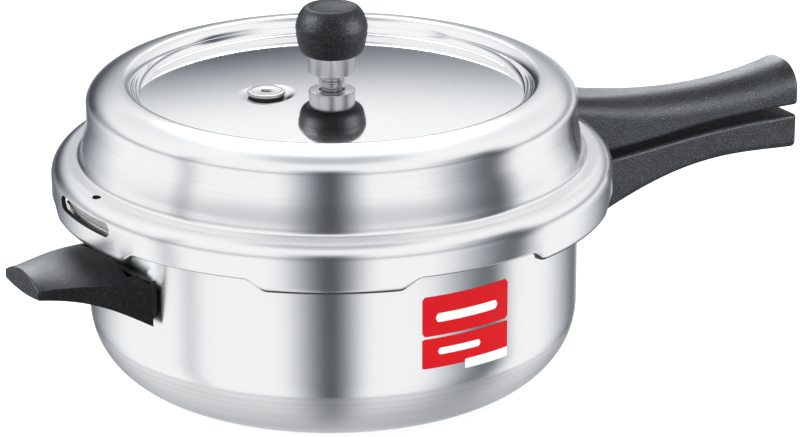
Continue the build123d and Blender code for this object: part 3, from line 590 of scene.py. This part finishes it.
collar_radius, collar_round, weight_low = 11.2, 0.6, 147.4
mouth_radius, chamber_radius, chamber_low, chamber_top = 6.3, 5.0, 150.6, 165.2
pin_bore = 2.5
weight_outline = (
    [(mouth_radius, weight_low)]
    + arc((collar_radius - collar_round, weight_low + collar_round), collar_round, -90, 0, 5)
    + line((collar_radius, weight_low + collar_round), (collar_radius, knob_low), 6)
    + [(collar_radius, knob_low), (core_radius, knob_low), (core_radius, core_top), (pin_bore, core_top),
       (pin_bore, chamber_top), (chamber_radius, chamber_top), (chamber_radius, chamber_low),
       (mouth_radius, weight_low + 1.8)]
)
weight = finish_mesh("weight_turning", turned(weight_outline, 128), "weight", steel)
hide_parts("weight_body")

# ------------------------------------------------------------------ vent tube and safety valve
tube_bore, tube_low, tube_top = 1.6, 128, 164.0
shank_radius, flange_radius, flange_low, flange_high = 4.9, 6.1, 143.1, 144.1
neck_radius, waist_radius, spout_radius = 5.35, 4.55, 4.2
edge_cut = 0.2
tube_outline = [
    (tube_bore, tube_low), (shank_radius, tube_low),
    (shank_radius, flange_low), (flange_radius - edge_cut, flange_low),
    (flange_radius, flange_low + edge_cut), (flange_radius, flange_high - edge_cut),
    (flange_radius - edge_cut, flange_high), (neck_radius, flange_high + 0.2),
    (neck_radius, 145.3), (waist_radius, 145.5), (waist_radius, 146.0), (neck_radius, 146.2),
    (neck_radius, 147.6), (spout_radius, 148.4), (spout_radius, tube_top - 0.8),
    (spout_radius - 0.8, tube_top), (tube_bore, tube_top),
]
tube = finish_mesh("vent_turning", turned(tube_outline, 96), "lid", steel)
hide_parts("vent_tube")

valve_bore, valve_shank, valve_body_radius, valve_lip_radius = 2.0, 5.4, 7.6, 8.5
valve_low, valve_body_low, valve_lip_z, valve_top = 130, 141.7, 142.75, 144.3
lip_low_round, lip_high_round = 0.4, 0.5
valve_outline = (
    [(valve_bore, valve_low), (valve_shank, valve_low), (valve_shank, valve_body_low),
     (valve_body_radius, valve_body_low), (valve_body_radius, valve_lip_z), (valve_lip_radius, valve_lip_z)]
    + arc((valve_lip_radius, valve_lip_z + lip_low_round), lip_low_round, -80, 0, 4)
    + arc((valve_lip_radius, valve_top - lip_high_round), lip_high_round, 0, 90, 6)
    # A ring groove is turned in the top, and the bore's edge is broken.
    + [(7.6, valve_top), (7.4, valve_top - 0.25), (6.9, valve_top - 0.25), (6.7, valve_top)]
    + [(2.9, valve_top), (2.7, valve_top - 0.05), (valve_bore, valve_top - 0.8)]
)
valve = finish_mesh("valve_turning", turned(valve_outline, 96, (valve_x, 0)), "lid", valve_metal)
valve.data.materials.append(painted_shade)
for polygon in valve.data.polygons:
    # Up to the underside of its lip the valve gets painted shade, standing in for the shadow under the lip.
    if polygon.center.z / MM < valve_lip_z + 0.05:
        polygon.material_index = 1
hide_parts("safety_valve_body")

# ------------------------------------------------------------------ sticker
# The films lie on the pan's wall.  Places along it are angles, in degrees, and heights are in mm.
label_radius = pan_radius + 0.19
marks_radius = label_radius + 0.008
label_middle, label_half = 271.4, 11.4
label_left, label_right = label_middle - label_half, label_middle + label_half


def patch(bm, low_z, high_z, left, right, radius, corner_radius, thickness=0.18):
    """A thin sheet with rounded corners on the pan's wall; left and right are angles."""
    half_width = math.radians((right - left) / 2) * radius
    centre_z = (low_z + high_z) / 2
    half_height = (high_z - low_z) / 2
    middle = math.radians((left + right) / 2)
    columns = 40
    rows_in, rows_out = [], []
    for i in range(columns + 1):
        across = -half_width + 2 * half_width * i / columns
        inset = max(0.0, abs(across) - (half_width - corner_radius))
        reach = half_height - (corner_radius - math.sqrt(max(0.0, corner_radius ** 2 - inset ** 2)))
        turn = middle + across / radius
        for rows, r in ((rows_out, radius), (rows_in, radius - thickness)):
            x, y = r * math.cos(turn), r * math.sin(turn)
            rows.append([
                bm.verts.new((x * MM, y * MM, (centre_z + side * reach) * MM)) for side in (-1, 1)
            ])
    for i in range(columns):
        bm.faces.new((rows_out[i][0], rows_out[i + 1][0], rows_out[i + 1][1], rows_out[i][1]))
        bm.faces.new((rows_in[i][1], rows_in[i + 1][1], rows_in[i + 1][0], rows_in[i][0]))
        for side in (0, 1):
            bm.faces.new((rows_out[i][side], rows_in[i][side], rows_in[i + 1][side], rows_out[i + 1][side]))
    for i in (0, columns):
        bm.faces.new((rows_out[i][0], rows_out[i][1], rows_in[i][1], rows_in[i][0]))


label_mesh = bmesh.new()
for low_z, high_z, corner_radius in ((56.15, 75.4, 1.6), (40.4, 54.85, 0.4)):
    patch(label_mesh, low_z, high_z, label_left, label_right, label_radius, corner_radius)
label = finish_mesh("label_red", label_mesh, "pan", red)
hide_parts("front_label")

# Two plain bars where lettering would be, and a plain tag at the lower right
bars = bmesh.new()
patch(bars, 62.6, 66.9, label_middle - 8.2, label_middle + 8.2, marks_radius, 2.0, 0.1)
patch(bars, 46.6, 49.9, label_middle - 7.6, label_middle + 3.4, marks_radius, 1.6, 0.1)
patch(bars, 37.2, 41.9, label_middle - 0.7, label_right, marks_radius, 0.3, 0.15)
marks = finish_mesh("label_white", bars, "pan", white)
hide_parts("label_tag")

# ------------------------------------------------------------------ nodes shown as the CAD has them
node_materials = {
    "gasket": rubber, "vent_washer": steel, "vent_nut": steel, "safety_valve_plug": alloy,
    "safety_valve_washer": steel, "safety_valve_nut": steel, "weight_pin": steel,
    "pan_handle": black, "lid_handle": black, "helper_handle": black,
    "pan_handle_bracket": enamel, "lid_handle_bracket": enamel, "helper_bracket": enamel,
    "pan_handle_screws": zinc, "lid_handle_screws": zinc, "helper_handle_screw": zinc,
    "pan_bracket_rivets": satin, "lid_bracket_rivets": satin, "helper_bracket_rivets": satin,
}
for name, material in node_materials.items():
    obj = nodes[name]
    obj.data.materials.clear()
    obj.data.materials.append(material)

# ------------------------------------------------------------------ floor, lights and what the metal reflects
def studio_object(name, bm, material):
    """Turns a bmesh into a plain object of the studio."""
    data = bpy.data.meshes.new(name)
    bm.to_mesh(data)
    bm.free()
    data.materials.append(material)
    obj = bpy.data.objects.new(name, data)
    scene.collection.objects.link(obj)
    return obj


# The floor glows a little, which keeps it pale, and the metal doesn't reflect it.
floor_material, tree, shader = new_material("floor")
shader.inputs["Base Color"].default_value = (0.92, 0.92, 0.92, 1)
shader.inputs["Roughness"].default_value = 0.9
shader.inputs["Emission Color"].default_value = (1, 1, 1, 1)
shader.inputs["Emission Strength"].default_value = 0.55
floor_mesh = bmesh.new()
bmesh.ops.create_grid(floor_mesh, x_segments=1, y_segments=1, size=6.0)
floor = studio_object("floor", floor_mesh, floor_material)
floor.visible_glossy = False

# A large dome that only reflections see.  It is white, with soft dark uprights, a dark low band on the far
# side, a thin dark band along the horizon elsewhere, and greyer stretches overhead and underfoot.
studio_material = bpy.data.materials.new("studio")
studio_material.use_nodes = True
studio_material.cycles.emission_sampling = "NONE"
tree = studio_material.node_tree
tree.nodes.clear()
output = tree.nodes.new("ShaderNodeOutputMaterial")
glow = tree.nodes.new("ShaderNodeEmission")
tree.links.new(glow.outputs[0], output.inputs["Surface"])
_, dome_x, dome_y, dome_z, dome_reach = place(tree)
azimuth = math_node(tree, "ARCTAN2", dome_y, dome_x)
elevation = math_node(tree, "MULTIPLY", math_node(tree, "ARCTAN2", dome_z, dome_reach), 180 / math.pi)


def around_from(centre):
    """The dome's azimuth measured from a direction, in radians between -pi and pi, as a socket."""
    shifted = math_node(tree, "SUBTRACT", azimuth, math.radians(centre))
    return node(
        tree, "ShaderNodeMath", {"operation": "WRAP"}, i0=shifted, i1=math.pi, i2=-math.pi
    ).outputs[0]


def stripe(centre, left, right):
    """1 on one upright of the dome, fading to 0 over left and right degrees, as a socket."""
    offset = math_node(tree, "MULTIPLY", around_from(centre), 180 / math.pi)
    return math_node(
        tree, "MULTIPLY", ramp(tree, offset, -left, 0, 0.0, 1.0), ramp(tree, offset, 0, right, 1.0, 0.0)
    )


def darkened(value, shade):
    """A value with a shade of 0 to 1 taken off it, as a socket."""
    return math_node(tree, "MULTIPLY", value, math_node(tree, "SUBTRACT", 1.0, shade))


# Uprights: middle, fade to the left, fade to the right, darkness, and how high it reaches
tall = ramp(tree, elevation, 28, 45, 1.0, 0.0)
short = ramp(tree, elevation, -10, 2, 1.0, 0.15)
light = 1.0
for centre, left_fade, right_fade, dark, height in (
    (239, 26, 20, 0.91, tall), (318, 40, 17, 0.86, tall), (170, 9, 9, 0.32, tall),
    (80, 12, 50, 0.85, short), (36, 45, 14, 0.85, short),
):
    shade = math_node(tree, "MULTIPLY", stripe(centre, left_fade, right_fade), height)
    light = darkened(light, math_node(tree, "MULTIPLY", shade, dark))
# The far side, which the lid's plate reflects
far_side = ramp(tree, stripe(80, 55, 55), 0.0, 0.8, 0.0, 1.0, "LINEAR")
low_band = math_node(
    tree, "MULTIPLY", ramp(tree, elevation, 8, 28, 1.0, 0.0), ramp(tree, elevation, -10, 0, 0.0, 1.0)
)
light = darkened(light, math_node(tree, "MULTIPLY", math_node(tree, "MULTIPLY", far_side, 0.92), low_band))
horizon = math_node(
    tree, "MULTIPLY", ramp(tree, elevation, 3, 9, 0.0, 1.0), ramp(tree, elevation, 10, 21, 0.62, 0.0)
)
light = darkened(light, darkened(horizon, far_side))
light = darkened(light, ramp(tree, elevation, 66, 82, 0.0, 0.45))
light = darkened(light, ramp(tree, elevation, -75, -35, 0.22, 0.0))
tree.links.new(light, glow.inputs["Strength"])
# Where it is darker it is also a little bluer.
tree.links.new(mix_color(tree, light, (0.78, 0.88, 1.0, 1), (1, 1, 1, 1)), glow.inputs["Color"])
dome_mesh = bmesh.new()
bmesh.ops.create_uvsphere(dome_mesh, u_segments=64, v_segments=32, radius=8.0)
dome = studio_object("studio_dome", dome_mesh, studio_material)
dome.visible_camera = False
dome.visible_diffuse = False
dome.visible_shadow = False
dome.visible_transmission = False

world = bpy.data.worlds.new("studio_air")
world.use_nodes = True
sky = world.node_tree.nodes["Background"]
sky.inputs["Color"].default_value = (1, 1, 1, 1)
sky.inputs["Strength"].default_value = 0.95
scene.world = world


# The middle of the cooker, which every light points at
aim = Vector((0.05, 0, 0.1))


def soft_light(name, location, size, power):
    """A large square light that points at the object."""
    data = bpy.data.lights.new(name, "AREA")
    data.shape = "SQUARE"
    data.size = size
    data.energy = power
    data.color = (0.92, 0.97, 1.0)
    obj = bpy.data.objects.new(name, data)
    obj.location = location
    obj.rotation_mode = "QUATERNION"
    obj.rotation_quaternion = (aim - Vector(location)).to_track_quat("-Z", "Y")
    scene.collection.objects.link(obj)
    return obj


soft_light("back_light", (0.75, 1.3, 1.6), 0.9, 12)
# The softboxes below give the bakelite its sheen, and light nothing else.
long_handles = [nodes["pan_handle"], nodes["lid_handle"]]
helper = nodes["helper_handle"]
for name, location, size, power, pieces in (
    ("left_softbox", (-1.75, 0.70, 1.1), 0.8, 150, long_handles + [helper, knob]),
    ("right_softbox", (1.35, -1.35, 0.45), 0.7, 110, long_handles + [helper, knob]),
    ("rim_softbox", (0.75, 1.6, 1.3), 1.5, 105, [nodes["lid_handle"], helper]),
    ("knob_softbox", (0.3, 1.5, 1.6), 0.8, 25, [knob]),
):
    softbox = soft_light(name, location, size, power)
    lit = bpy.data.collections.new(name + "_pieces")
    for piece in pieces:
        lit.objects.link(piece)
    softbox.light_linking.receiver_collection = lit

# ------------------------------------------------------------------ camera
# A long lens at the front left that looks down a little
camera_location = (-0.8, -1.3856, 0.6625)
camera_direction = Vector((0.4854, 0.8029, -0.3455))
camera_data = bpy.data.cameras.new("camera")
camera_data.sensor_width = 36
camera_data.lens = 159.6
camera = bpy.data.objects.new("camera", camera_data)
camera.location = camera_location
camera.rotation_mode = "QUATERNION"
camera.rotation_quaternion = camera_direction.to_track_quat("-Z", "Y")
scene.collection.objects.link(camera)
scene.camera = camera
scene.view_settings.view_transform = "Standard"
